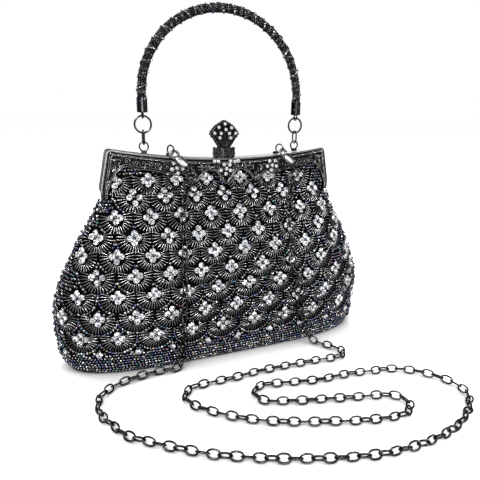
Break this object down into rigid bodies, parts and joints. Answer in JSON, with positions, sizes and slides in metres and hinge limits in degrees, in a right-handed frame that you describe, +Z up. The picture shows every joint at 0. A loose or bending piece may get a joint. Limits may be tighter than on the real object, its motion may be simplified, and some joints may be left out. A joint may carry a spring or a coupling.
{
  "type": "evening clutch",
  "caption": "Beaded evening bag with a hinged two-part metal frame, fan-shaped clasp lever, beaded top handle and a long detachable shoulder chain.",
  "frame": {"origin": "middle of the flat base, where the bag stands", "axes": "+X to the right seen from the front, +Y towards the back, +Z up"},
  "size_m": [0.2413, 0.1874, 0.2411],
  "materials": {
    "beaded_fabric": "glass beads sewn on cloth",
    "lining_fabric": "matte cloth",
    "polished_metal": "polished",
    "antiqued_metal": "antiqued dark",
    "dark_metal": "dark plated",
    "black_gloss": "gloss black",
    "beaded_cord": "wound with beads",
    "bright_clip": "polished",
    "chain_metal": "dark plated"
  },
  "bodies": {
    "bag": {"body_pouch": "beaded_fabric", "base_panel": "beaded_fabric", "lining_pouch": "lining_fabric", "chain_floor_run": "chain_metal", "left_chain_drop": "chain_metal", "right_chain_drop": "chain_metal"},
    "front_frame": {"front_frame": "polished_metal", "front_plate": "antiqued_metal", "front_panel": "beaded_fabric", "left_hinge_rivet": "dark_metal", "right_hinge_rivet": "dark_metal", "left_handle_eyelet": "dark_metal", "right_handle_eyelet": "dark_metal", "left_chain_eyelet": "dark_metal", "right_chain_eyelet": "dark_metal", "clasp_collar": "dark_metal", "clasp_pivot_pin": "dark_metal"},
    "rear_frame": {"rear_frame": "polished_metal", "rear_plate": "antiqued_metal", "rear_panel": "beaded_fabric", "catch_stud": "dark_metal"},
    "clasp_lever": {"clasp_knob": "antiqued_metal"},
    "left_link": {"left_handle_link": "dark_metal"},
    "right_link": {"right_handle_link": "dark_metal"},
    "left_ring": {"left_handle_ring": "dark_metal"},
    "right_ring": {"right_handle_ring": "dark_metal"},
    "handle": {"handle_grip": "beaded_cord", "left_handle_ferrule": "black_gloss", "right_handle_ferrule": "black_gloss"},
    "left_hook": {"left_lobster_hook": "bright_clip"},
    "right_hook": {"right_lobster_hook": "bright_clip"},
    "left_gate": {"left_lobster_gate": "bright_clip"},
    "right_gate": {"right_lobster_gate": "bright_clip"},
    "left_eye": {"left_swivel_eye": "bright_clip", "left_chain_ring": "dark_metal"},
    "right_eye": {"right_swivel_eye": "bright_clip", "right_chain_ring": "dark_metal"}
  },
  "joints": [
    {"name": "front_frame_hinge", "type": "hinge", "parent": "bag", "child": "front_frame", "pos_m": [0, 0, 0.113], "axis": [1, 0, 0], "range_deg": [0, 35], "deforming": ["left_chain_drop", "right_chain_drop"]},
    {"name": "rear_frame_hinge", "type": "hinge", "parent": "bag", "child": "rear_frame", "pos_m": [0, 0, 0.113], "axis": [-1, 0, 0], "range_deg": [0, 35]},
    {"name": "clasp_lever_flip", "type": "hinge", "parent": "front_frame", "child": "clasp_lever", "pos_m": [0, -0.0035, 0.146], "axis": [1, 0, 0], "range_deg": [0, 15], "stiffness_Nm_per_rad": 0.02},
    {"name": "left_link_swing", "type": "hinge", "parent": "front_frame", "child": "left_link", "pos_m": [-0.056, -0.0035, 0.15371], "axis": [1, 0, 0], "range_deg": [-45, 45]},
    {"name": "right_link_swing", "type": "hinge", "parent": "front_frame", "child": "right_link", "pos_m": [0.056, -0.0035, 0.15371], "axis": [1, 0, 0], "range_deg": [-45, 45]},
    {"name": "left_ring_swing", "type": "hinge", "parent": "left_link", "child": "left_ring", "pos_m": [-0.056, -0.0035, 0.15951], "axis": [1, 0, 0], "range_deg": [-30, 30]},
    {"name": "right_ring_swing", "type": "hinge", "parent": "right_link", "child": "right_ring", "pos_m": [0.056, -0.0035, 0.15951], "axis": [1, 0, 0], "range_deg": [-30, 30]},
    {"name": "handle_swing", "type": "hinge", "parent": "left_ring", "child": "handle", "pos_m": [-0.056, -0.0035, 0.17021], "axis": [1, 0, 0], "range_deg": [-45, 45]},
    {"name": "left_hook_swing", "type": "hinge", "parent": "front_frame", "child": "left_hook", "pos_m": [-0.03889, -0.01247, 0.14693], "axis": [-0.3747, 0.5997, -0.7071], "range_deg": [0, 45]},
    {"name": "left_gate_open", "type": "hinge", "parent": "left_hook", "child": "left_gate", "pos_m": [-0.03841, -0.01395, 0.14355], "axis": [-0.2451, 0.8744, -0.4189], "range_deg": [0, 12], "stiffness_Nm_per_rad": 0.0005},
    {"name": "left_eye_swivel", "type": "hinge", "parent": "left_hook", "child": "left_eye", "pos_m": [-0.03104, -0.01403, 0.13907], "axis": [0.7002, -0.1392, -0.7002], "continuous": true},
    {"name": "right_hook_swing", "type": "hinge", "parent": "front_frame", "child": "right_hook", "pos_m": [0.04111, -0.01247, 0.14693], "axis": [-0.3747, 0.5997, -0.7071], "range_deg": [0, 45]},
    {"name": "right_gate_open", "type": "hinge", "parent": "right_hook", "child": "right_gate", "pos_m": [0.04159, -0.01395, 0.14355], "axis": [-0.2451, 0.8744, -0.4189], "range_deg": [0, 12], "stiffness_Nm_per_rad": 0.0005},
    {"name": "right_eye_swivel", "type": "hinge", "parent": "right_hook", "child": "right_eye", "pos_m": [0.04897, -0.01403, 0.13907], "axis": [0.7002, -0.1392, -0.7002], "continuous": true}
  ],
  "couplings": [
    {"joint": "rear_frame_hinge", "follows": "front_frame_hinge", "ratio": 1},
    {"joint": "right_link_swing", "follows": "left_link_swing", "ratio": 1},
    {"joint": "right_ring_swing", "follows": "left_ring_swing", "ratio": 1}
  ]
}
